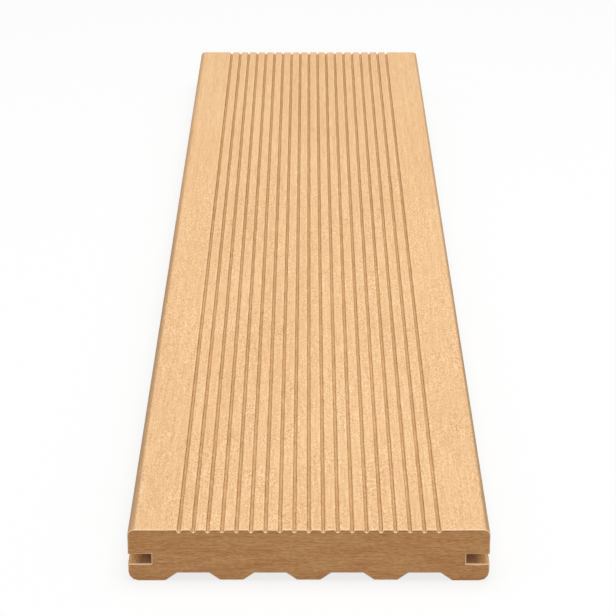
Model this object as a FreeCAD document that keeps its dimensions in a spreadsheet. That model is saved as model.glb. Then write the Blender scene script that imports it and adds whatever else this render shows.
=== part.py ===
import FreeCAD, Part

import os

import Sketcher

# Decking board of solid wood-plastic composite, lying on its feet with its grooved face up.
# It is one extruded plank: a blank with rounded edges, anti-slip grooves along the top,
# drainage channels along the underside and a clip slot in each long side.
# Lengths are in millimetres. X runs across the board, Y along it, Z up.
# The origin is the middle of the floor that the two outer feet stand on.

NODE_NAME = "deck_board"

# Driving dimensions: name, value, meaning.
DRIVING_SIZES = [
    ("board_length", 690, "cut length of this piece"),
    ("board_width", 145, "over the two long sides"),
    ("board_thickness", 23, "from the outer feet to the rib tops"),
    ("top_edge_radius", 2.4, "rounding of the two long top edges"),
    ("bottom_edge_radius", 4, "rounding under the two long sides"),
    ("groove_count", 19, "anti-slip grooves across the top"),
    ("groove_pitch", 5.77, "from one groove to the next"),
    ("groove_width", 1.7, "at the rib tops"),
    ("groove_floor_width", 1, "at the bottom of the groove"),
    ("groove_depth", 1.4, "below the rib tops"),
    ("shoulder_radius", 0.7, "rounding of the rib edges"),
    ("groove_floor_radius", 0.3, "rounding inside the groove"),
    ("channel_count", 4, "drainage channels along the underside"),
    ("channel_pitch", 31, "from one channel to the next"),
    ("channel_mouth_width", 22.4, "at floor level"),
    ("channel_ceiling_width", 12.9, "at the top of the channel"),
    ("channel_depth", 3.5, "above floor level"),
    ("channel_corner_radius", 0.8, "rounding of the channel ceilings and lands"),
    ("foot_corner_radius", 2, "rounding of the outer feet towards the channels"),
    ("land_relief", 0.3, "how far the inner lands stay clear of the floor"),
    ("slot_height", 4.4, "opening of the clip slot"),
    ("slot_depth", 9.4, "from the long side inwards"),
    ("slot_level", 7.6, "lower wall of the clip slot above floor level"),
    ("end_arris", 0.3, "small bevel round both cut ends"),
    ("overcut", 10, "how far a lengthwise cut runs out past each end"),
]

# Derived dimensions: name, formula.
DERIVED_SIZES = [
    ("half_width", "=board_width / 2"),
    ("cut_length", "=board_length + 2 * overcut"),
    ("groove_span", "=groove_pitch * (groove_count - 1)"),
    ("groove_left", "=(groove_span + groove_width) / 2"),
    ("groove_inset", "=(groove_width - groove_floor_width) / 2"),
    ("groove_floor_level", "=board_thickness - groove_depth"),
    ("channel_span", "=channel_pitch * (channel_count - 1)"),
    ("channel_left", "=(channel_span + channel_mouth_width) / 2"),
    ("channel_inset", "=(channel_mouth_width - channel_ceiling_width) / 2"),
    ("relief_left", "=channel_span / 2"),
]

# Two coordinates count as the same place within this distance.
TOLERANCE = 1e-4

# How far the finished board's outer size may be from the sheet's.
SIZE_TOLERANCE = 0.01

# A line's two ends, as a sketch constraint numbers them.
START = 1
END = 2

# The number that stands for the sketch's origin and its level axis.
ORIGIN = -1


def make_sheet(doc):
    """Fill a sheet with one named row for each dimension."""
    sheet = doc.addObject("Spreadsheet::Sheet", "Sizes")
    rows = [(name, str(value), meaning) for name, value, meaning in DRIVING_SIZES]
    rows += [(name, formula, "derived") for name, formula in DERIVED_SIZES]
    for number, (name, content, meaning) in enumerate(rows, start=1):
        sheet.set(f"A{number}", name)
        sheet.set(f"B{number}", content)
        sheet.set(f"C{number}", meaning)
        sheet.setAlias(f"B{number}", name)
    doc.recompute()
    return sheet


def origin_feature(body, role):
    """Find one of the body's own origin planes or axes."""
    return next(item for item in body.Origin.OriginFeatures if item.Role == role)


def section_sketch(body, name):
    """Start a sketch on the plane across the board: its x is X and its y is Z."""
    sketch = body.newObject("Sketcher::SketchObject", name)
    sketch.AttachmentSupport = [(origin_feature(body, "XZ_Plane"), "")]
    sketch.MapMode = "FlatFace"
    return sketch


def draw_outline(sketch, points):
    """Draw straight lines round the points, joined end to start, and return their numbers."""
    vectors = [FreeCAD.Vector(x, z, 0) for x, z in points]
    lines = []
    for corner, next_corner in zip(vectors, vectors[1:] + vectors[:1]):
        lines.append(sketch.addGeometry(Part.LineSegment(corner, next_corner), False))
    for line, next_line in zip(lines, lines[1:] + lines[:1]):
        sketch.addConstraint(Sketcher.Constraint("Coincident", line, END, next_line, START))
    return lines


def bind(sketch, name, kind, places, size):
    """Add a named dimension to a sketch and take its value from the sheet."""
    index = sketch.addConstraint(Sketcher.Constraint(kind, *places, 1))
    sketch.renameConstraint(index, name)
    sketch.setExpression(f"Constraints.{name}", f"Sizes.{size}")


def place_on_level(sketch, line, level):
    """Put a line's start at a level from the sheet, or on the floor where none is given."""
    if level is None:
        sketch.addConstraint(Sketcher.Constraint("PointOnObject", line, START, ORIGIN))
    else:
        bind(sketch, "level", "DistanceY", (ORIGIN, START, line, START), level)


def rectangle_sketch(body, name, sheet, left, width, height, level=None):
    """Draw a rectangle that starts left of the middle, on the floor or at a level above it."""
    start = -sheet.get(left)
    low = sheet.get(level) if level else 0
    end = start + sheet.get(width)
    high = low + sheet.get(height)
    sketch = section_sketch(body, name)
    bottom, right, top, left_side = draw_outline(
        sketch, [(start, low), (end, low), (end, high), (start, high)]
    )
    for line in (bottom, top):
        sketch.addConstraint(Sketcher.Constraint("Horizontal", line))
    for line in (right, left_side):
        sketch.addConstraint(Sketcher.Constraint("Vertical", line))
    bind(sketch, "left", "DistanceX", (bottom, START, ORIGIN, START), left)
    bind(sketch, "width", "DistanceX", (bottom, START, bottom, END), width)
    bind(sketch, "height", "DistanceY", (bottom, END, top, START), height)
    place_on_level(sketch, bottom, level)
    return sketch


def groove_sketch(body, name, sheet, left, mouth_width, inset, inner_width, inner_level,
                  mouth_level=None):
    """Draw a groove's section: a wide mouth, two sloping walls and a narrower inner end."""
    start = -sheet.get(left)
    end = start + sheet.get(mouth_width)
    outside = sheet.get(mouth_level) if mouth_level else 0
    inner_start = start + sheet.get(inset)
    inner_end = inner_start + sheet.get(inner_width)
    inside = sheet.get(inner_level)
    sketch = section_sketch(body, name)
    mouth, _, inner, _ = draw_outline(
        sketch, [(start, outside), (end, outside), (inner_end, inside), (inner_start, inside)]
    )
    for line in (mouth, inner):
        sketch.addConstraint(Sketcher.Constraint("Horizontal", line))
    bind(sketch, "left", "DistanceX", (mouth, START, ORIGIN, START), left)
    bind(sketch, "mouth_width", "DistanceX", (mouth, START, mouth, END), mouth_width)
    bind(sketch, "inset", "DistanceX", (mouth, START, inner, END), inset)
    bind(sketch, "inner_width", "DistanceX", (inner, END, inner, START), inner_width)
    bind(sketch, "inner_level", "DistanceY", (ORIGIN, START, inner, START), inner_level)
    place_on_level(sketch, mouth, mouth_level)
    return sketch


def finish_step(doc, body, feature, previous=None):
    """Make the feature the body's tip and test that it took material away."""
    body.Tip = feature
    doc.recompute()
    if feature.Shape.isNull():
        raise RuntimeError(f"{feature.Name} has no shape")
    volume = feature.Shape.Volume
    if previous is not None and volume > previous.Shape.Volume - TOLERANCE:
        raise RuntimeError(f"{feature.Name} cuts nothing")
    print(f"{feature.Name}: {volume / 1000:.2f} cm3, {len(feature.Shape.Faces)} faces")
    return feature


def cut_along(doc, body, name, sketch, previous):
    """Cut a section out of the whole length of the board."""
    pocket = body.newObject("PartDesign::Pocket", name)
    pocket.Profile = sketch
    pocket.SideType = "Symmetric"
    pocket.setExpression("Length", "Sizes.cut_length")
    return finish_step(doc, body, pocket, previous)


def repeat_across(doc, body, name, cut, span, count):
    """Repeat a cut across the board, from the first place to the last."""
    pattern = body.newObject("PartDesign::LinearPattern", name)
    pattern.Originals = [cut]
    pattern.Direction = (origin_feature(body, "X_Axis"), [""])
    pattern.Mode = "Extent"
    pattern.setExpression("Length", f"Sizes.{span}")
    pattern.setExpression("Occurrences", f"Sizes.{count}")
    return finish_step(doc, body, pattern, cut)


def long_edges(shape, height, low, high):
    """Name the edges along the board at a height, with a distance from the middle in a range."""
    names = []
    for number, edge in enumerate(shape.Edges, start=1):
        ends = [vertex.Point for vertex in edge.Vertexes]
        if len(ends) < 2 or abs(ends[0].y - ends[1].y) < TOLERANCE:
            continue
        middle = edge.CenterOfMass
        at_height = abs(middle.z - height) < TOLERANCE
        if at_height and low - TOLERANCE < abs(middle.x) < high + TOLERANCE:
            names.append(f"Edge{number}")
    return names


def round_edges(doc, body, name, previous, radius, edge_names, expected_count):
    """Round a group of long edges, after testing that the whole group was found."""
    if len(edge_names) != expected_count:
        raise RuntimeError(f"{name} found {len(edge_names)} edges, not {expected_count}")
    fillet = body.newObject("PartDesign::Fillet", name)
    fillet.Base = (previous, edge_names)
    fillet.setExpression("Radius", f"Sizes.{radius}")
    body.Tip = fillet
    doc.recompute()
    print(f"{name}: {fillet.Shape.Volume / 1000:.2f} cm3, {len(edge_names)} edges")
    return fillet


def end_faces(shape):
    """Name the two faces that the saw left."""
    names = []
    for number, face in enumerate(shape.Faces, start=1):
        normal = face.normalAt(0, 0)
        if abs(abs(normal.y) - 1) < TOLERANCE:
            names.append(f"Face{number}")
    return names


def build_board(doc, sheet):
    """Build the plank as one body and return it."""
    body = doc.addObject("PartDesign::Body", "Board")
    body.Label = NODE_NAME
    body.Placement = FreeCAD.Placement()

    # The blank, a plain plank.
    blank = body.newObject("PartDesign::Pad", "Blank")
    blank.Profile = rectangle_sketch(
        body, "BlankSection", sheet, "half_width", "board_width", "board_thickness"
    )
    blank.SideType = "Symmetric"
    blank.setExpression("Length", "Sizes.board_length")
    finish_step(doc, body, blank)

    # The anti-slip grooves: one is cut at the left, then repeated across the top.
    groove_section = groove_sketch(
        body, "GrooveSection", sheet, "groove_left", "groove_width", "groove_inset",
        "groove_floor_width", "groove_floor_level", "board_thickness",
    )
    groove = cut_along(doc, body, "Groove", groove_section, blank)
    grooves = repeat_across(doc, body, "Grooves", groove, "groove_span", "groove_count")

    # The underside between the outer feet stays just clear of the floor.
    relief_section = rectangle_sketch(
        body, "ReliefSection", sheet, "relief_left", "channel_span", "land_relief"
    )
    relief = cut_along(doc, body, "Relief", relief_section, grooves)

    # The drainage channels: one is cut at the left, then repeated across the underside.
    channel_section = groove_sketch(
        body, "ChannelSection", sheet, "channel_left", "channel_mouth_width",
        "channel_inset", "channel_ceiling_width", "channel_depth",
    )
    channel = cut_along(doc, body, "Channel", channel_section, relief)
    channels = repeat_across(doc, body, "Channels", channel, "channel_span", "channel_count")

    # The clip slots: one is cut in the left side, then mirrored to the right.
    slot_section = rectangle_sketch(
        body, "SlotSection", sheet, "half_width", "slot_depth", "slot_height", "slot_level"
    )
    slot = cut_along(doc, body, "Slot", slot_section, channels)
    slots = body.newObject("PartDesign::Mirrored", "Slots")
    slots.Originals = [slot]
    slots.MirrorPlane = (origin_feature(body, "YZ_Plane"), [""])
    finish_step(doc, body, slots, slot)

    # The roundings, each on its own group of long edges.
    side = sheet.half_width
    top = sheet.board_thickness
    groove_edge_count = 2 * int(sheet.groove_count)
    channel_edge_count = 2 * int(sheet.channel_count)
    rounded = round_edges(
        doc, body, "TopEdges", slots, "top_edge_radius",
        long_edges(slots.Shape, top, side, side), 2,
    )
    rounded = round_edges(
        doc, body, "BottomEdges", rounded, "bottom_edge_radius",
        long_edges(rounded.Shape, 0, side, side), 2,
    )
    rounded = round_edges(
        doc, body, "FootCorners", rounded, "foot_corner_radius",
        long_edges(rounded.Shape, 0, sheet.channel_left, sheet.channel_left), 2,
    )
    rounded = round_edges(
        doc, body, "LandCorners", rounded, "channel_corner_radius",
        long_edges(rounded.Shape, sheet.land_relief, 0, sheet.relief_left),
        channel_edge_count - 2,
    )
    rounded = round_edges(
        doc, body, "CeilingCorners", rounded, "channel_corner_radius",
        long_edges(rounded.Shape, sheet.channel_depth, 0, sheet.channel_left), channel_edge_count,
    )
    rounded = round_edges(
        doc, body, "RibShoulders", rounded, "shoulder_radius",
        long_edges(rounded.Shape, top, 0, sheet.groove_left),
        groove_edge_count,
    )
    rounded = round_edges(
        doc, body, "GrooveFloors", rounded, "groove_floor_radius",
        long_edges(rounded.Shape, sheet.groove_floor_level, 0, side), groove_edge_count,
    )

    # The saw's sharp edges are taken off all round both ends.
    arris = body.newObject("PartDesign::Chamfer", "EndArris")
    arris.Base = (rounded, end_faces(rounded.Shape))
    arris.setExpression("Size", "Sizes.end_arris")
    finish_step(doc, body, arris, rounded)
    return body


def check_document(doc):
    """Raise if any object of the document failed."""
    for item in doc.Objects:
        if "Invalid" in item.State or "Error" in item.State:
            raise RuntimeError(f"{item.Name} failed: {item.State}")


def check_board(body, sheet):
    """Raise unless the board is one valid solid of the stated outer size."""
    shape = body.Shape
    if shape.isNull() or not shape.isValid() or len(shape.Solids) != 1:
        raise RuntimeError(f"{body.Label} is not one valid solid")
    box = shape.BoundBox
    wanted = (sheet.board_width, sheet.board_length, sheet.board_thickness)
    for found, size in zip((box.XLength, box.YLength, box.ZLength), wanted):
        if abs(found - size) > SIZE_TOLERANCE:
            raise RuntimeError(f"{body.Label} measures {found}, not {size}")
    print(f"{body.Label}: {box.XLength:.2f} x {box.YLength:.2f} x {box.ZLength:.2f} mm")


def main():
    doc = FreeCAD.newDocument("decking_board")
    sheet = make_sheet(doc)
    board = build_board(doc, sheet)
    doc.recompute()
    check_document(doc)
    check_board(board, sheet)
    os.makedirs("parts", exist_ok=True)
    board.Shape.exportStep(os.path.join("parts", f"{board.Label}.step"))


main()
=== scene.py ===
# %% [markdown]
# # A grooved composite decking board
#
# The real board is one solid plank of wood flour and plastic, pushed hot through a die, brushed on
# its grooved face and sawn to length. The scene shows that one plank lying on a pale floor.
#
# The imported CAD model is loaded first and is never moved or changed. It gives the board's outer
# sizes, and the dressed board is built to them. Blender works in metres.

import math

import bmesh
import bpy
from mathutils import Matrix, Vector


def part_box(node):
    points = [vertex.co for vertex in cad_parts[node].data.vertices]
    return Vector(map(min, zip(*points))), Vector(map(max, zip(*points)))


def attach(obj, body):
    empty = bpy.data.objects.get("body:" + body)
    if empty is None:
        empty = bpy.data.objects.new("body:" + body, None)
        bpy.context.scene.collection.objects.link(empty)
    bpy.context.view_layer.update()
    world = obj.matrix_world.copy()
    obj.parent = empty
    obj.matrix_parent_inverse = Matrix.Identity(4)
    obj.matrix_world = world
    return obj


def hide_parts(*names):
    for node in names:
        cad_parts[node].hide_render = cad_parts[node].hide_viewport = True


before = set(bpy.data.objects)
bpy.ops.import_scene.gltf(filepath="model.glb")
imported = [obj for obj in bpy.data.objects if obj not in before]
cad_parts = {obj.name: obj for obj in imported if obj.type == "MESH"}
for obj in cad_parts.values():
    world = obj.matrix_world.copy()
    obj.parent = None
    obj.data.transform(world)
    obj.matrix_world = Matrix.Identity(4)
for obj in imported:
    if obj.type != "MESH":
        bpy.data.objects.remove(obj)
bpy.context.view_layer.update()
BOARD_NODE = "deck_board"
board_low, board_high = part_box(BOARD_NODE)
BOARD_WIDTH, BOARD_LENGTH, BOARD_THICKNESS = board_high - board_low
print(f"board {BOARD_WIDTH:.4f} x {BOARD_LENGTH:.4f} x {BOARD_THICKNESS:.4f} m")

# %% [markdown]
# ## The die's dimensions
#
# A die for decking is described by a handful of numbers: how many grooves, how far apart, how wide
# and deep, and the same for the channels underneath and the clip slots. They are the numbers that
# the CAD source uses, repeated here in metres, so that the dressed board and the solid agree.

# %% Name the section's dimensions
MM = 0.001
GROOVE_COUNT = 19
GROOVE_PITCH = 5.77 * MM
GROOVE_WIDTH = 1.7 * MM
GROOVE_FLOOR_WIDTH = 1.0 * MM
GROOVE_DEPTH = 1.4 * MM
SHOULDER_RADIUS = 0.7 * MM
GROOVE_FLOOR_RADIUS = 0.3 * MM
CHANNEL_COUNT = 4
CHANNEL_PITCH = 31 * MM
CHANNEL_MOUTH_WIDTH = 22.4 * MM
CHANNEL_CEILING_WIDTH = 12.9 * MM
CHANNEL_DEPTH = 3.5 * MM
CHANNEL_CORNER_RADIUS = 0.8 * MM
FOOT_CORNER_RADIUS = 2 * MM
LAND_RELIEF = 0.3 * MM
SLOT_HEIGHT = 4.4 * MM
SLOT_DEPTH = 9.4 * MM
SLOT_LEVEL = 7.6 * MM
TOP_EDGE_RADIUS = 2.4 * MM
BOTTOM_EDGE_RADIUS = 4 * MM
END_ARRIS = 0.3 * MM
print(f"grooved band {(GROOVE_COUNT - 1) * GROOVE_PITCH + GROOVE_WIDTH:.4f} m wide")

# %% [markdown]
# ## Two small helpers for node trees
#
# Both the board's shape and its finish are made by trees of nodes. A sum takes a Math node for each
# operator, which is hard to read as nodes and easy to read as a formula. So the first helper wraps an
# output socket, and lets `1 - mask * 0.5` in Python add the Math nodes that work it out.


# %% Wrap sockets so that Python's operators add Math nodes
class Wire:
    """An output socket that Python's operators work on."""

    def __init__(self, graph, socket):
        self.graph = graph
        self.socket = socket

    def maths(self, operation, *values):
        """Add a Math node that works on these values."""
        inputs = dict(enumerate(values))
        return self.graph.node("ShaderNodeMath", {"operation": operation}, inputs)

    def __add__(self, other):
        return self.maths("ADD", self, other)

    def __radd__(self, other):
        return self.maths("ADD", other, self)

    def __sub__(self, other):
        return self.maths("SUBTRACT", self, other)

    def __rsub__(self, other):
        return self.maths("SUBTRACT", other, self)

    def __mul__(self, other):
        return self.maths("MULTIPLY", self, other)

    def __rmul__(self, other):
        return self.maths("MULTIPLY", other, self)

    def __truediv__(self, other):
        return self.maths("DIVIDE", self, other)

    def __rtruediv__(self, other):
        return self.maths("DIVIDE", other, self)

    def __pow__(self, other):
        return self.maths("POWER", self, other)

    def __rpow__(self, other):
        return self.maths("POWER", other, self)

    def __neg__(self):
        return self.maths("MULTIPLY", self, -1)

    def __abs__(self):
        return self.maths("ABSOLUTE", self)

    def least(self, other):
        """The smaller of the two."""
        return self.maths("MINIMUM", self, other)

    def most(self, other):
        """The larger of the two."""
        return self.maths("MAXIMUM", self, other)

    def above(self, limit):
        """1 where the value is above a limit, and 0 elsewhere."""
        return self.maths("GREATER_THAN", self, limit)

    def whole(self):
        """The value rounded down."""
        return self.maths("FLOOR", self)


print("sockets can be calculated with")

# %% [markdown]
# ### Any other node
#
# Everything else comes from one method. It takes the node's type, then its settings, which can change
# what sockets it has, and then the values or links of those sockets. A few kinds of node are needed
# again and again, so they have methods of their own.


# %% Add a node from its type, its settings and its inputs
class Graph:
    """Adds nodes to a tree."""

    def __init__(self, tree):
        self.tree = tree

    def node(self, kind, settings=None, inputs=None, output=0):
        """Add a node, set it up, fill its inputs, and return one of its outputs as a wire."""
        node = self.tree.nodes.new(kind)
        for name, value in (settings or {}).items():
            setattr(node, name, value)
        for name, value in (inputs or {}).items():
            if isinstance(value, Wire):
                self.tree.links.new(value.socket, node.inputs[name])
            else:
                node.inputs[name].default_value = value
        return Wire(self, node.outputs[output]) if node.outputs else None

    def step(self, value, start, end):
        """A soft step from 0 to 1 as the value goes from start to end, upwards or downwards."""
        return self.node(
            "ShaderNodeMapRange", {"interpolation_type": "SMOOTHSTEP"},
            {"Value": value, "From Min": start, "From Max": end, "To Min": 0.0, "To Max": 1.0},
        )

    def blend(self, factor, first, second):
        """The first colour where the factor is 0, the second where it is 1."""
        return self.node(
            "ShaderNodeMix", {"data_type": "RGBA"}, {0: factor, 6: first, 7: second}, output=2
        )

    def vectors(self, operation, first, second, output=0):
        """Vector maths on two vectors."""
        return self.node(
            "ShaderNodeVectorMath", {"operation": operation}, {0: first, 1: second}, output
        )

    def parts(self, vector):
        """A vector's three parts: across the board, along it and up."""
        split = self.node("ShaderNodeSeparateXYZ", {}, {0: vector}).socket.node
        return [Wire(self, socket) for socket in split.outputs]


print("nodes can be added")

# %% [markdown]
# ## The section, as sharp corners
#
# The section could be drawn with all its roundings, as hundreds of points. It is simpler to list the
# sharp corners only, each with the radius that rounds it, and to leave the rounding to a node.
#
# Each corner also says how much it belongs to a rib's shoulder, which the finish makes paler, partly
# by wear and partly by a painted highlight, how deep it lies in a groove, which the finish makes
# brown, partly the die's skin and partly painted shade, and how deep it lies in a clip slot. A plain
# point on the rib each side of a groove is where the shoulder ends. The list goes round the section
# once.


# %% List the corners of the section
HALF_WIDTH = BOARD_WIDTH / 2
SHOULDER_REACH = 1.3 * MM


def corner(x, z, radius=0, shoulder=0, recess=0, slot_depth=0):
    """A corner's place, the radius that rounds it, and what the finish has to know of it."""
    return (x, z, radius, shoulder, recess, slot_depth)


def side_corners(side):
    """The corners up the right long side for +1, and down the left one for -1."""
    outer = side * HALF_WIDTH
    inner = side * (HALF_WIDTH - SLOT_DEPTH)
    corners = [
        corner(outer, 0, radius=BOTTOM_EDGE_RADIUS),
        corner(outer, SLOT_LEVEL),
        corner(inner, SLOT_LEVEL, slot_depth=1),
        corner(inner, SLOT_LEVEL + SLOT_HEIGHT, slot_depth=1),
        corner(outer, SLOT_LEVEL + SLOT_HEIGHT),
        corner(outer, BOARD_THICKNESS, radius=TOP_EDGE_RADIUS),
    ]
    return corners if side > 0 else corners[::-1]


def groove_corners(middle):
    """The corners of one groove, from right to left, and a point on the rib each side of it."""
    mouth = GROOVE_WIDTH / 2
    reach = mouth + SHOULDER_REACH
    floor = GROOVE_FLOOR_WIDTH / 2
    level = BOARD_THICKNESS - GROOVE_DEPTH
    return [
        corner(middle + reach, BOARD_THICKNESS),
        corner(middle + mouth, BOARD_THICKNESS, radius=SHOULDER_RADIUS, shoulder=1),
        corner(middle + floor, level, radius=GROOVE_FLOOR_RADIUS, recess=1),
        corner(middle - floor, level, radius=GROOVE_FLOOR_RADIUS, recess=1),
        corner(middle - mouth, BOARD_THICKNESS, radius=SHOULDER_RADIUS, shoulder=1),
        corner(middle - reach, BOARD_THICKNESS),
    ]


def channel_mouth(middle, side, is_outer):
    """The lower corner on one side of a channel. Only the outer feet reach the floor."""
    level = 0 if is_outer else LAND_RELIEF
    slope = (CHANNEL_MOUTH_WIDTH - CHANNEL_CEILING_WIDTH) / 2 / CHANNEL_DEPTH
    x = middle + side * (CHANNEL_MOUTH_WIDTH / 2 - slope * level)
    return corner(x, level, radius=FOOT_CORNER_RADIUS if is_outer else CHANNEL_CORNER_RADIUS)


def channel_corners(number):
    """The four corners of one channel, from left to right."""
    middle = (number - (CHANNEL_COUNT - 1) / 2) * CHANNEL_PITCH
    ceiling = CHANNEL_CEILING_WIDTH / 2
    return [
        channel_mouth(middle, -1, number == 0),
        corner(middle - ceiling, CHANNEL_DEPTH, radius=CHANNEL_CORNER_RADIUS),
        corner(middle + ceiling, CHANNEL_DEPTH, radius=CHANNEL_CORNER_RADIUS),
        channel_mouth(middle, 1, number == CHANNEL_COUNT - 1),
    ]


def section_corners():
    """All corners, anticlockwise: along the underside, up the right, back over the top, down."""
    corners = []
    for number in range(CHANNEL_COUNT):
        corners += channel_corners(number)
    corners += side_corners(1)
    for number in reversed(range(GROOVE_COUNT)):
        corners += groove_corners((number - (GROOVE_COUNT - 1) / 2) * GROOVE_PITCH)
    corners += side_corners(-1)
    return corners


corners = section_corners()
print(f"{len(corners)} corners in the section")

# %% [markdown]
# ## The section, as a mesh
#
# The corners become a closed loop of edges, and what each corner says becomes four attributes of its
# point. The sweep below lays the loop's second axis downwards, so the heights go in with their sign
# changed, and the corners in reverse, which keeps the faces pointing outwards.


# %% Make the section's loop of edges
CORNER_ATTRIBUTES = ("corner_radius", "shoulder", "recess", "slot_depth")
BOARD_PIECE = "composite_board"


def make_section(name, corners):
    """A closed loop of edges, with the corners' numbers on its points."""
    mesh = bpy.data.meshes.new(name)
    corners = corners[::-1]
    count = len(corners)
    points = [(x, -z, 0) for x, z, *_ in corners]
    mesh.from_pydata(points, [(i, (i + 1) % count) for i in range(count)], [])
    for column, attribute in enumerate(CORNER_ATTRIBUTES, start=2):
        data = mesh.attributes.new(attribute, "FLOAT", "POINT").data
        data.foreach_set("value", [numbers[column] for numbers in corners])
    piece = bpy.data.objects.new(name, mesh)
    bpy.context.scene.collection.objects.link(piece)
    return piece


board = make_section(BOARD_PIECE, corners)
print(f"{len(board.data.edges)} edges in the loop")

# %% [markdown]
# ## The extruder, as a tree of geometry nodes
#
# The real board is a section pushed along a line, so the tree does the same: it rounds the corners,
# adds points where a straight stretch is long, and sweeps the section along a straight path. The path
# has many stations, because the brushed ribs of the real board aren't perfectly straight: a little
# noise moves their shoulders by up to about a tenth of a millimetre. The outermost stations are drawn
# in by the arris, the small bevel that takes the saw's sharp edge off.
#
# The tree's inputs carry the sizes by name, so that another length or arris needs no new tree.

# %% Start the tree and name its inputs
TREE_INPUTS = [
    ("Section", "NodeSocketGeometry", None),
    ("Length", "NodeSocketFloat", BOARD_LENGTH),
    ("Stations", "NodeSocketInt", 201),
    ("Rounding Steps", "NodeSocketInt", 3),
    ("Longest Stretch", "NodeSocketFloat", 6 * MM),
    ("Arris", "NodeSocketFloat", END_ARRIS),
    ("Arris Unevenness", "NodeSocketFloat", 0.35),
    ("Relief", "NodeSocketFloat", 0.03 * MM),
    ("Shoulder Relief", "NodeSocketFloat", 0.14 * MM),
    ("Seed", "NodeSocketFloat", 7.0),
    ("Finish", "NodeSocketMaterial", None),
]
tree = bpy.data.node_groups.new("board_extruder", "GeometryNodeTree")
for name, kind, _ in TREE_INPUTS:
    tree.interface.new_socket(name=name, in_out="INPUT", socket_type=kind)
tree.interface.new_socket(name="Board", in_out="OUTPUT", socket_type="NodeSocketGeometry")
extruder = Graph(tree)
entry = tree.nodes.new("NodeGroupInput")
size = {name: Wire(extruder, entry.outputs[name]) for name, _, _ in TREE_INPUTS}
print(f"{len(size)} named inputs")

# %% [markdown]
# ### Roundings and extra points
#
# Fillet Curve turns each corner into a short arc of the radius that the corner carries. Three steps
# to an arc look round at this size. Long straight stretches are then cut, so that no face of the
# sweep is much longer across the board than it is along it.


# %% Round the corners and cut the long stretches
def named(attribute):
    """Read one of the section's own attributes."""
    return extruder.node(
        "GeometryNodeInputNamedAttribute", {"data_type": "FLOAT"}, {"Name": attribute}
    )


loop = extruder.node("GeometryNodeMeshToCurve", {}, {"Mesh": size["Section"]})
rounded = extruder.node(
    "GeometryNodeFilletCurve", {"mode": "POLY"},
    {
        "Curve": loop, "Count": size["Rounding Steps"],
        "Radius": named("corner_radius"), "Limit Radius": True,
    },
)
position = extruder.node("GeometryNodeInputPosition")
next_point = extruder.node(
    "GeometryNodeOffsetPointInCurve", {}, {"Offset": 1}, output="Point Index"
)
next_position = extruder.node(
    "GeometryNodeFieldAtIndex", {"data_type": "FLOAT_VECTOR"},
    {"Index": next_point, "Value": position},
)
stretch = extruder.vectors("DISTANCE", position, next_position, output="Value")
cuts = (stretch / size["Longest Stretch"]).whole()
profile = extruder.node("GeometryNodeSubdivideCurve", {}, {"Curve": rounded, "Cuts": cuts})
print("section rounded and divided")

# %% [markdown]
# ### The path
#
# The path's points are spread evenly, except that the last two at each end stand exactly an arris
# apart. Stretching the row of points a little past both ends and clamping it to the board's length
# does that without counting points.

# %% Lay the path and sweep the section along it
half_length = size["Length"] * 0.5
inner_half = half_length - size["Arris"]
share = (extruder.node("GeometryNodeInputIndex") - 1) / (size["Stations"] - 3)
station = (share * 2 - 1) * inner_half
station = station.least(half_length).most(-half_length)
line = extruder.node(
    "GeometryNodeMeshLine", {"mode": "OFFSET"},
    {"Count": size["Stations"], "Offset": (0, 1, 0)},
)
line = extruder.node(
    "GeometryNodeSetPosition", {},
    {"Geometry": line, "Position": extruder.node("ShaderNodeCombineXYZ", {}, {"Y": station})},
)
path = extruder.node("GeometryNodeMeshToCurve", {}, {"Mesh": line})
swept = extruder.node(
    "GeometryNodeCurveToMesh", {},
    {"Curve": path, "Profile Curve": profile, "Fill Caps": True},
)
print("section swept")

# %% [markdown]
# ### Relief of the brushed face
#
# The brush leaves the skin slightly uneven, and the ribs' shoulders most of all. Each point moves
# along the surface's normal by a noise that reads the point's own place, so neighbours move together.
# The noise's patches are longer along the board than across it, as a brush leaves them. The relief
# fades out down the long sides, and the underside has none.

# %% Work out the relief
BRUSHED_HEIGHTS = (0.6 * BOARD_THICKNESS, 0.9 * BOARD_THICKNESS)
SKIN_PATCH = (4 * MM, 11 * MM, 4 * MM)
SHOULDER_PATCH = (1.6 * MM, 7 * MM, 1.6 * MM)
point_place = extruder.node("GeometryNodeInputPosition")
_, point_along, point_height = extruder.parts(point_place)


def surface_noise(patch):
    """Noise that mostly stays between -1 and 1; patch is the size of its spots in metres."""
    stretched = extruder.vectors("MULTIPLY", point_place, [1 / length for length in patch])
    noise = extruder.node(
        "ShaderNodeTexNoise", {"noise_dimensions": "4D"},
        {"Vector": stretched, "W": size["Seed"], "Scale": 1.0, "Detail": 2.0},
    )
    return noise * 4 - 2


brushed = extruder.step(point_height, *BRUSHED_HEIGHTS)
relief = surface_noise(SKIN_PATCH) * size["Relief"] * brushed
shoulder_relief = surface_noise(SHOULDER_PATCH) * size["Shoulder Relief"] * named("shoulder")
print("relief worked out")

# %% [markdown]
# ### The arris
#
# A Bevel modifier could take the edge off, but it would make it the same all round. The real board's
# arris is uneven, as a hand with sandpaper leaves it. So the end stations are drawn in by an uneven
# amount: less in the grooves, where the paper hardly reaches, and more deep in a clip slot and along
# its lower wall.

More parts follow.
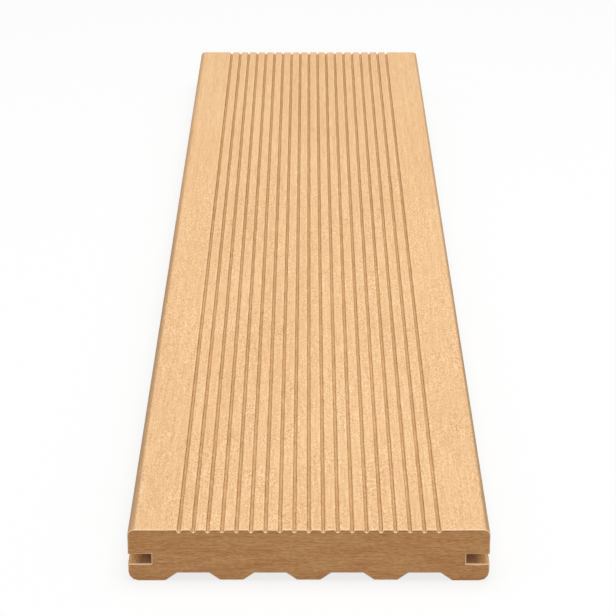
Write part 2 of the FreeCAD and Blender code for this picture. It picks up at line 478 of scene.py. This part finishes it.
# %% Draw the end stations in
ARRIS_PATCH = (2.5 * MM, 40 * MM, 2.5 * MM)
FROM_SLOT_WALL = (0.4 * MM, 0.1 * MM)
LESS_IN_GROOVES = 0.7
MORE_IN_SLOTS = 0.8
flat_normal = extruder.vectors(
    "MULTIPLY", extruder.node("GeometryNodeInputNormal"), (1, 0, 1)
)
outward = extruder.node("ShaderNodeVectorMath", {"operation": "NORMALIZE"}, {0: flat_normal})
end_share = (1 - (half_length - abs(point_along)) / size["Arris"]).most(0)
unevenness = 1 + surface_noise(ARRIS_PATCH) * size["Arris Unevenness"]
slot_wall = extruder.step(abs(point_height - SLOT_LEVEL), *FROM_SLOT_WALL)
in_slots = named("slot_depth").most(slot_wall)
inset = end_share * size["Arris"] * unevenness
inset = inset * (1 - named("recess") * LESS_IN_GROOVES + in_slots * MORE_IN_SLOTS)
offset = extruder.node(
    "ShaderNodeVectorMath", {"operation": "SCALE"},
    {0: outward, "Scale": relief + shoulder_relief - inset},
)
moved = extruder.node("GeometryNodeSetPosition", {}, {"Geometry": swept, "Offset": offset})
print("points moved")

# %% [markdown]
# ### Names for the faces
#
# The finish has to know a sawn face and an arris from the skin. It could read the normal, but a bump
# would disturb that, so each face gets a number here: a face that looks straight along the board is
# sawn, and one that looks partly that way is the arris.


# %% Mark the sawn ends and the arris
SQUARE_ON = 0.95
TILTED = 0.2


def store(geometry, attribute, value):
    """Keep a number on each face under a name."""
    return extruder.node(
        "GeometryNodeStoreNamedAttribute", {"data_type": "FLOAT", "domain": "FACE"},
        {"Geometry": geometry, "Name": attribute, "Value": value},
    )


_, normal_along, _ = extruder.parts(extruder.node("GeometryNodeInputNormal"))
facing_end = abs(normal_along)
is_sawn = facing_end.above(SQUARE_ON)
is_tilted = facing_end.above(TILTED)
marked = store(moved, "sawn", is_sawn)
marked = store(marked, "arris", is_tilted - is_sawn)
print("faces named")

# %% [markdown]
# ### Shading and output
#
# Smooth shading makes the few steps of each rounding look like one curve, while edges sharper than
# the angle below stay crisp, such as those of the slots. The tree ends by making any instances real
# and by setting the finish, because the export keeps neither instances nor the modifier.

# %% Shade it smooth, keep the sharp edges and set the finish
SHARP_ANGLE = math.radians(28)
smooth = extruder.node(
    "GeometryNodeSetShadeSmooth", {"domain": "FACE"},
    {"Geometry": marked, "Shade Smooth": True},
)
is_sharp = extruder.node(
    "FunctionNodeCompare", {"data_type": "FLOAT", "operation": "GREATER_THAN"},
    {0: extruder.node("GeometryNodeInputMeshEdgeAngle"), 1: SHARP_ANGLE},
)
creased = extruder.node(
    "GeometryNodeSetShadeSmooth", {"domain": "EDGE"},
    {"Geometry": smooth, "Selection": is_sharp, "Shade Smooth": False},
)
real = extruder.node("GeometryNodeRealizeInstances", {}, {"Geometry": creased})
finished = extruder.node(
    "GeometryNodeSetMaterial", {}, {"Geometry": real, "Material": size["Finish"]}
)
leave = tree.nodes.new("NodeGroupOutput")
tree.links.new(finished.socket, leave.inputs["Board"])
print(f"{len(tree.nodes)} nodes in the extruder")

# %% [markdown]
# ## The composite's finish
#
# One material covers the board, because it is one piece. A picture of wood wrapped round it would
# show seams and blur close up. Here the colour is worked out instead: noises read the place on the
# board in metres, so nothing slides when the board or the camera moves, and the extruder's numbers
# say which part is a rib, a groove, a slot, an arris or a sawn end.


# %% Start the finish and read the masks
composite = bpy.data.materials.new("composite")
composite.use_nodes = True
composite.node_tree.nodes.clear()
look = Graph(composite.node_tree)
place = look.node("ShaderNodeTexCoord", output="Object")


def mask(attribute):
    """Read a number that the extruder left on the board."""
    return look.node(
        "ShaderNodeAttribute", {"attribute_type": "GEOMETRY", "attribute_name": attribute},
        output="Fac",
    )


sawn = mask("sawn")
arris = mask("arris")
shoulder = mask("shoulder")
recess = mask("recess")
slot_depth = mask("slot_depth")
print("masks read")

# %% [markdown]
# ### Grain
#
# Seven noises make the skin, each with spots of its own size across the board, along it and up it.
# Spots that are much longer along the board than across it look brushed, or drawn out by the die.
#
# - leather is the fine grain that shows everywhere on the brushed face
# - calm makes that grain stronger in some areas and fainter in others
# - scratches are hair lines from the brush
# - streaks are long and faint, from the die
# - clouds are broad and fainter still, from uneven mixing
# - patches and dashes are where wear and stain come and go


# %% Make the noises of the skin
def grain(patch, detail=2.0, roughness=0.5, distortion=0.0):
    """Noise centred on 0; patch is the size of its spots across, along and up in metres."""
    scaled = look.node(
        "ShaderNodeMapping", {"vector_type": "POINT"},
        {"Vector": place, "Scale": [1 / length for length in patch]},
    )
    noise = look.node(
        "ShaderNodeTexNoise", {"noise_dimensions": "3D"},
        {
            "Vector": scaled, "Scale": 1.0, "Detail": detail,
            "Roughness": roughness, "Distortion": distortion,
        },
    )
    return noise - 0.5


leather = grain((0.58 * MM, 1.4 * MM, 0.58 * MM), detail=1.2, distortion=0.6)
calm = grain((9 * MM, 30 * MM, 9 * MM), detail=1.0)
scratches = grain((0.45 * MM, 18 * MM, 0.45 * MM), detail=1.0)
streaks = grain((2.2 * MM, 120 * MM, 2.2 * MM))
clouds = grain((40 * MM, 80 * MM, 40 * MM), detail=1.0)
patches = grain((2.5 * MM, 14 * MM, 2.5 * MM))
dashes = grain((0.7 * MM, 3 * MM, 0.7 * MM), detail=1.0)
print("noises made")

# %% [markdown]
# ### The die's brown sides and the painted shade on the edges
#
# The brush turns the die's brown skin sand-coloured, but never touches the sides, which stay brown.
# Along the rounded long edges a brown strip is painted shade, where the rounding turns away from the
# lamp overhead. The strips' middle is shifted a little to the right, so the left one is wider. They
# are a little wider near the near end, and fade towards the far end.
#
# Each of these is a soft step between two places. Places along the board are in metres from its
# middle, and minus is towards the near end.

# %% Find the brown sides and the painted shade on the edges
MASKS_SHIFT_RIGHT = 0.45 * MM
NEAR_STRETCH = (-0.25, -0.335)
WIDER_AT_NEAR_END = 0.4 * MM
EDGE_SHADE_FROM_EDGE = (2.5 * MM, 1.2 * MM)
MISSED_BELOW_TOP = (2.5 * MM, 4 * MM)
EDGE_SHADE_FADE_STRETCH = (-0.1, 0.2)
EDGE_SHADE_FADE = 0.4
across, along, height = look.parts(place)
shifted_across = across - MASKS_SHIFT_RIGHT
below_top = BOARD_THICKNESS - height
near = look.step(along, *NEAR_STRETCH)
from_edge = HALF_WIDTH - abs(shifted_across) - near * WIDER_AT_NEAR_END
# Painted shade along the rounded long edges, wider on the left and fading towards the far end.
edge_shade_and_die_skin = look.step(from_edge, *EDGE_SHADE_FROM_EDGE)
edge_shade_and_die_skin = edge_shade_and_die_skin * (1 - look.step(along, *EDGE_SHADE_FADE_STRETCH) * EDGE_SHADE_FADE)
edge_shade_and_die_skin = edge_shade_and_die_skin.most(look.step(below_top, *MISSED_BELOW_TOP))
print("missed strips found")

# %% [markdown]
# ### The spread of painted light and shade
#
# In the photograph the grooves look browner to the left and towards the far end, and the ribs'
# shoulders less pale there. One mask paints both: it rises to the right and falls towards the far
# end.
# Where it is high the shoulders get a painted highlight, and where it is low the grooves' walls get
# painted shade. Another marks the last millimetre before each sawn end, which sandpaper has turned
# pale.

# %% Find the spread of painted light and the sanded edges
LIGHT_SPREAD_IN_MIDDLE = 0.85
LIGHT_SPREAD_TO_THE_RIGHT = 0.5
LIGHT_SPREAD_LOSS_STRETCH = (-0.15, 0.15)
LIGHT_SPREAD_LOSS = 0.6
HALF_LENGTH = BOARD_LENGTH / 2
SANDED_FROM_END = (1.2 * MM, 0.4 * MM)
# Painted light: higher to the right, lower towards the far end.
painted_light_spread = LIGHT_SPREAD_IN_MIDDLE + shifted_across / HALF_WIDTH * LIGHT_SPREAD_TO_THE_RIGHT
painted_light_spread = painted_light_spread - look.step(along, *LIGHT_SPREAD_LOSS_STRETCH) * LIGHT_SPREAD_LOSS
painted_light_spread = painted_light_spread.least(1).most(0)
sanded = look.step(HALF_LENGTH - abs(along), *SANDED_FROM_END)
print("pressure and sanding found")

# %% [markdown]
# ### Pale shoulders and brown grooves, with painted light and shade
#
# The ribs' shoulders are paler, unevenly so: partly wear, and partly a painted highlight on their
# rounded part, which follows the spread of painted light. The grooves keep the die's brown in patches
# and dashes, deepest on their walls, where it is partly painted shade, and the sandpaper takes some
# of it off at the ends.

# %% Find the shoulders' wear and highlight, and the grooves' stain and shade
IN_GROOVE = (0.02, 0.25)
ON_GROOVE_FLOOR = (0.75, 1.0)
ON_SHOULDER = (0.6, 1.0)
ROUNDED_BELOW_TOP = (0.03 * MM, 0.35 * MM)
WEAR = 0.35
WEAR_IN_PATCHES = 1.2
HIGHLIGHT_ON_ROUNDING = 0.65
STAIN_AND_SHADE = 0.95
STAIN_IN_PATCHES = 1.2
STAIN_IN_DASHES = 1.4
STAIN_SANDED_OFF = 0.7
in_groove = look.step(recess, *IN_GROOVE)
groove_floor = look.step(recess, *ON_GROOVE_FLOOR)
groove_wall = in_groove * (1 - groove_floor)
rounded_part = look.step(below_top, *ROUNDED_BELOW_TOP)
# Wear in patches, and a painted highlight on the shoulders' rounded part.
wear_and_highlight = WEAR + patches * WEAR_IN_PATCHES + rounded_part * painted_light_spread * HIGHLIGHT_ON_ROUNDING
worn_and_highlighted = look.step(shoulder, *ON_SHOULDER) * wear_and_highlight
# Stain in patches and dashes; on the groove walls it also carries painted shade.
stain_and_shade = STAIN_AND_SHADE + patches * STAIN_IN_PATCHES + dashes * STAIN_IN_DASHES
stain_and_shade = stain_and_shade * (1 - sanded * STAIN_SANDED_OFF)
print("wear and stain found")

# %% [markdown]
# ### Colour of the skin
#
# The colours are laid over each other in turn: the brushed skin, paler where it is worn or sanded and
# with a painted highlight on the shoulders, the die's brown on the sides with painted shade along the
# rounded edges, the grooves' floors and walls, the walls partly painted shade, and the slots last. A
# slot has painted light at its mouth and painted shade towards its inner end, with a sanded rim.

# %% Colour the skin
SKIN_COLOUR = (0.865, 0.538, 0.273, 1)
SHOULDER_COLOUR = (1.0, 0.67, 0.375, 1)
DIE_SKIN_AND_EDGE_SHADE_COLOUR = (0.50, 0.30, 0.145, 1)
GROOVE_FLOOR_COLOUR = (0.63, 0.380, 0.167, 1)
GROOVE_WALL_BROWN_AND_SHADE_COLOUR = (0.31, 0.167, 0.067, 1)
SLOT_MOUTH_LIT_COLOUR = (1.0, 0.63, 0.28, 1)
SLOT_END_SHADE_COLOUR = (0.53, 0.31, 0.155, 1)
SLOT_SHADE_DEPTHS = (0.2, 0.65)
SLOT_SANDED = 0.9
IN_SLOT = (0.0, 0.05)
# Paler shoulders, partly wear and partly painted highlight, and the sanded ends.
skin = look.blend(worn_and_highlighted.most(sanded), SKIN_COLOUR, SHOULDER_COLOUR)
# The die's brown on the sides, and painted shade along the rounded long edges.
skin = look.blend(edge_shade_and_die_skin, skin, DIE_SKIN_AND_EDGE_SHADE_COLOUR)
skin = look.blend(groove_floor * stain_and_shade, skin, GROOVE_FLOOR_COLOUR)
# Groove walls: the die's brown and painted shade.
skin = look.blend(groove_wall * stain_and_shade, skin, GROOVE_WALL_BROWN_AND_SHADE_COLOUR)
# Painted light at the slot's mouth and painted shade towards its inner end.
slot_shade = look.step(slot_depth, *SLOT_SHADE_DEPTHS)
slot_light_and_shade = look.blend(slot_shade, SLOT_MOUTH_LIT_COLOUR, SLOT_END_SHADE_COLOUR)
slot_light_and_shade = look.blend(sanded * SLOT_SANDED, slot_light_and_shade, SHOULDER_COLOUR)
skin = look.blend(look.step(slot_depth, *IN_SLOT), skin, slot_light_and_shade)
print("skin coloured")

# %% [markdown]
# ### Light and dark in the skin
#
# The noises now make the colour lighter and darker. Multiplying a colour by one number keeps its hue,
# but the real skin turns a deeper, redder brown as it darkens. So green and blue fall faster than
# red: each has a power of its own.
#
# In the photograph the grain is calmer towards the far end. The grooves get a little painted shade:
# on their walls where the spread of painted light is low, and in the whole groove towards the far
# end.

# %% Shade the skin
GREEN_POWER = 1.55
BLUE_POWER = 2.2
LEATHER_CONTRAST = 0.71
CALM_CONTRAST = 1.5
FAR_STRETCH = (0.02, 0.2)
FAR_CALM = 0.62
SCRATCH_CONTRAST = 0.3
STREAK_CONTRAST = 0.15
CLOUD_CONTRAST = 0.08
GROOVE_WALL_SHADE = 0.14
DARKER_GROOVES = 0.06
DARKER_GROOVES_STRETCH = (-0.25, 0.1)


def shaded(colour, factor):
    """A colour made lighter or darker by a factor. The darker it gets, the deeper its hue."""
    start = colour if isinstance(colour, Wire) else colour[:3]
    factors = look.node(
        "ShaderNodeCombineXYZ", {},
        {"X": factor, "Y": factor ** GREEN_POWER, "Z": factor ** BLUE_POWER},
    )
    return look.vectors("MULTIPLY", start, factors)


far_calm = 1 - look.step(along, *FAR_STRETCH) * FAR_CALM
skin_shade = 1 + leather * (LEATHER_CONTRAST + calm * CALM_CONTRAST) * far_calm
skin_shade = skin_shade + scratches * SCRATCH_CONTRAST
skin_shade = skin_shade + streaks * STREAK_CONTRAST + clouds * CLOUD_CONTRAST
grooves_along = look.step(along, *DARKER_GROOVES_STRETCH)
# Painted shade in the grooves: on the walls where the painted light is low, and more towards the far
# end.
darker = groove_wall * (1 - painted_light_spread) * GROOVE_WALL_SHADE
darker = darker + in_groove * grooves_along * DARKER_GROOVES
skin = shaded(skin, skin_shade * (1 - darker))
print("skin shaded")

# %% [markdown]
# ### The sawn end
#
# The saw cuts across the pressed fibres. The end shows short wavy rows and long thin lines across the
# board. It is darker than the skin, with a few pale splinters, and a slightly darker rim at the top
# and along the feet.

# %% Colour the sawn end
SAWN_COLOUR = (0.652, 0.325, 0.125, 1)
SPLINTER_COLOUR = (0.78, 0.47, 0.23, 1)
ROW_CONTRAST = 0.85
LINE_CONTRAST = 0.5
BAND_CONTRAST = 0.3
RIM_BELOW_TOP = (1.2 * MM, 0.6 * MM)
RIM_ABOVE_FLOOR = (0.9 * MM, 0.3 * MM)
DARKER_RIM = 0.14
SPLINTER_EDGE = (0.2, 0.32)
SPLINTER_SHARE = 0.6
rows = grain((1.9 * MM, 1.9 * MM, 0.33 * MM), detail=3.0, roughness=0.6, distortion=0.2)
lines = grain((9 * MM, 9 * MM, 0.3 * MM), detail=1.0)
bands = grain((25 * MM, 25 * MM, 4 * MM))
splinters = grain((1.8 * MM, 1.8 * MM, 0.35 * MM), detail=1.0)
rim = look.step(below_top, *RIM_BELOW_TOP).most(look.step(height, *RIM_ABOVE_FLOOR))
wood_shade = 1 + rows * ROW_CONTRAST + lines * LINE_CONTRAST + bands * BAND_CONTRAST
wood = shaded(SAWN_COLOUR, wood_shade * (1 - rim * DARKER_RIM))
is_splinter = look.step(splinters, *SPLINTER_EDGE)
wood = look.blend(is_splinter * SPLINTER_SHARE, wood, SPLINTER_COLOUR)
colour = look.blend(sawn, skin, wood)
print("sawn end coloured")

# %% [markdown]
# ### Colour of the arris
#
# The bevel round the sawn end is sanded and pale, more in some places than in others.

# %% Colour the arris
ARRIS_COLOUR = (1.0, 0.72, 0.45, 1)
ARRIS_SANDED = 0.95
ARRIS_IN_PATCHES = 1.5
arris_sanded = (ARRIS_SANDED + patches * ARRIS_IN_PATCHES).least(1)
colour = look.blend(arris * arris_sanded, colour, ARRIS_COLOUR)
print("arris coloured")

# %% [markdown]
# ### Bump and gloss
#
# Grain this fine would need millions of faces, so a bump tilts the light instead. It reads a height
# in metres, which is why its strength and distance are 1. The sawn end's torn rows stand higher than
# the skin's grain. The composite is matt all over, a little more so on the high spots of its grain.

# %% Add bump and gloss, and finish the material
LEATHER_HEIGHT = 0.04 * MM
SCRATCH_HEIGHT = 0.015 * MM
ROW_HEIGHT = 0.14 * MM
SPLINTER_HEIGHT = 0.05 * MM
ROUGHNESS = 0.72
ROUGHNESS_OF_GRAIN = 0.3
SPECULAR_LEVEL = 0.3
skin_height = leather * LEATHER_HEIGHT + scratches * SCRATCH_HEIGHT
wood_height = rows * ROW_HEIGHT + splinters * SPLINTER_HEIGHT
bump_height = look.node(
    "ShaderNodeMix", {"data_type": "FLOAT"}, {0: sawn, 2: skin_height, 3: wood_height}
)
bumped = look.node(
    "ShaderNodeBump", {}, {"Strength": 1.0, "Distance": 1.0, "Height": bump_height}
)
surface = look.node(
    "ShaderNodeBsdfPrincipled", {},
    {
        "Base Color": colour,
        "Roughness": ROUGHNESS + leather * ROUGHNESS_OF_GRAIN,
        "Specular IOR Level": SPECULAR_LEVEL,
        "Normal": bumped,
    },
)
look.node("ShaderNodeOutputMaterial", {}, {"Surface": surface})
print(f"{len(composite.node_tree.nodes)} nodes in the finish")

# %% [markdown]
# ## Run the extruder and keep its mesh
#
# A modifier's input is set by the socket's identifier, before the object is first evaluated. The
# result is copied out as a plain mesh, and the modifier goes, so that the piece is an ordinary mesh
# from here on. Counting its open edges and its volume shows that it is closed and points outwards.


# %% Turn the extrusion into a plain mesh
def run_tree(piece, tree, values):
    """Run a tree on a piece once and keep the result as its mesh."""
    modifier = piece.modifiers.new(tree.name, "NODES")
    modifier.node_group = tree
    for item in tree.interface.items_tree:
        if item.in_out == "INPUT" and values.get(item.name) is not None:
            modifier[item.identifier] = values[item.name]
    evaluated = piece.evaluated_get(bpy.context.evaluated_depsgraph_get())
    mesh = bpy.data.meshes.new_from_object(evaluated)
    piece.modifiers.clear()
    piece.data = mesh


values = {name: value for name, _, value in TREE_INPUTS}
values["Finish"] = composite
run_tree(board, tree, values)
board.data.name = BOARD_PIECE
solid = bmesh.new()
solid.from_mesh(board.data)
volume = solid.calc_volume(signed=True)
open_edges = sum(not edge.is_manifold for edge in solid.edges)
solid.free()
triangles = sum(len(face.vertices) - 2 for face in board.data.polygons)
print(f"{triangles} triangles, {volume * 1e6:.1f} cm3, {open_edges} open edges")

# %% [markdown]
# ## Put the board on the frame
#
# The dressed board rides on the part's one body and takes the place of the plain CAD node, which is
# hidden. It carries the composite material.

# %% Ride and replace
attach(board, "root")
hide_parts(BOARD_NODE)
print(f"board of {board.dimensions[:]} m on the frame")

# %% [markdown]
# ## The floor
#
# The floor is large and plain. Light that bounces off it meets a mid grey, so that the board's sides
# and slots stay darker than its top. Only what is seen of the floor is white, by the camera or in
# gloss and glass. It mostly glows there, and its matt rest keeps the board's soft shadow.
#
# The floor lies a hair below the feet, because two faces in one plane flicker.


# %% Make the floor
FLOOR_REACH = 20
FLOOR_GAP = 0.05 * MM
FLOOR_GREY = (0.45, 0.45, 0.45, 1)
WHITE = (1, 1, 1, 1)
FLOOR_GLOW_SHARE = 0.78
SEEN_RAYS = ("Is Camera Ray", "Is Glossy Ray", "Is Transmission Ray")


def is_seen(graph):
    """1 for rays from the camera and for those that gloss or glass passes on, 0 for others."""
    camera, glossy, clear = [graph.node("ShaderNodeLightPath", output=name) for name in SEEN_RAYS]
    return camera.most(glossy).most(clear)


def make_floor_finish():
    """White and mostly glowing where it is seen, and matt grey to all other light."""
    material = bpy.data.materials.new("pale_floor")
    material.use_nodes = True
    material.node_tree.nodes.clear()
    paint = Graph(material.node_tree)
    seen = is_seen(paint)
    shade = paint.blend(seen, FLOOR_GREY, WHITE)
    matt = paint.node("ShaderNodeBsdfDiffuse", {}, {"Color": shade})
    glow = paint.node("ShaderNodeEmission", {}, {"Color": WHITE, "Strength": 1.0})
    mixed = paint.node("ShaderNodeMixShader", {}, {0: seen * FLOOR_GLOW_SHARE, 1: matt, 2: glow})
    paint.node("ShaderNodeOutputMaterial", {}, {"Surface": mixed})
    return material


def make_floor(reach, level):
    """A level square that reaches equally far in all four directions."""
    turns = ((-1, -1), (1, -1), (1, 1), (-1, 1))
    mesh = bpy.data.meshes.new("floor")
    mesh.from_pydata([(x * reach, y * reach, level) for x, y in turns], [], [(0, 1, 2, 3)])
    mesh.materials.append(make_floor_finish())
    floor = bpy.data.objects.new("floor", mesh)
    bpy.context.scene.collection.objects.link(floor)
    return floor


floor = make_floor(FLOOR_REACH, board_low.z - FLOOR_GAP)
print("floor laid")

# %% [markdown]
# ## The lamps
#
# A large lamp overhead, a little to the right, gives most of the light, and its size makes the
# shadows soft. A weaker one in front lights the sawn end.


# %% Set the lamps
def make_area_light(name, width, power, place, target):
    """A square lamp of a width in metres and a power in watts that faces a target."""
    data = bpy.data.lights.new(name, "AREA")
    data.shape = "SQUARE"
    data.size = width
    data.energy = power
    lamp = bpy.data.objects.new(name, data)
    lamp.location = place
    lamp.rotation_mode = "QUATERNION"
    lamp.rotation_quaternion = (Vector(target) - Vector(place)).to_track_quat("-Z", "Y")
    bpy.context.scene.collection.objects.link(lamp)


make_area_light("overhead", width=1.4, power=23.4, place=(0.08, 0, 1.8), target=(0, 0, 0))
make_area_light("front", width=0.9, power=6.8, place=(0.2, -2.0, 0.7), target=(0, -0.3, 0))
print("lamps set")

# %% [markdown]
# ## The air
#
# A studio's walls throw light back from every side. The air around the board does that here. It is
# white where it is seen, as the floor is, and dimmer to all other light.

# %% Light the air
AIR_STRENGTH = 0.34
world = bpy.data.worlds.new("studio")
bpy.context.scene.world = world
world.use_nodes = True
world.node_tree.nodes.clear()
sky = Graph(world.node_tree)
brightness = AIR_STRENGTH + is_seen(sky) * (1 - AIR_STRENGTH)
air = sky.node("ShaderNodeBackground", {}, {"Color": WHITE, "Strength": brightness})
sky.node("ShaderNodeOutputWorld", {}, {"Surface": air})
print("air lit")

# %% [markdown]
# ## The camera
#
# The camera stands in the board's middle plane, in front of the near end and above it, and looks
# along the board. In the photograph the two long edges meet at a point above the board, which gives
# the pitch for a lens of known length; the near edge's width gives the distance.

# %% Aim the camera
IMAGE_WIDTH = 616
SENSOR_WIDTH = 36
FOCAL_PIXELS = 2309
NEAREST_SEEN = 0.05
CAMERA_PITCH = math.radians(22.242)
CAMERA_DISTANCE = 0.8184
CAMERA_HEIGHT = 0.4302
CAMERA_TURN = math.radians(0.023)
camera_data = bpy.data.cameras.new("camera")
camera_data.sensor_width = SENSOR_WIDTH
camera_data.lens = FOCAL_PIXELS / IMAGE_WIDTH * SENSOR_WIDTH
camera_data.clip_start = NEAREST_SEEN
camera = bpy.data.objects.new("camera", camera_data)
camera.location = (0, board_low.y - CAMERA_DISTANCE, board_high.z + CAMERA_HEIGHT)
camera.rotation_euler = (math.pi / 2 - CAMERA_PITCH, 0, CAMERA_TURN)
bpy.context.scene.collection.objects.link(camera)
bpy.context.scene.camera = camera
bpy.context.scene.view_settings.view_transform = "Standard"
print(f"lens {camera_data.lens:.1f} mm")

# %% [markdown]
# ## Finish
#
# The dressed board may stand a hair proud of the solid, because of its relief. The last step brings
# the scene up to date.

# %% Bring the scene up to date
bpy.context.view_layer.update()
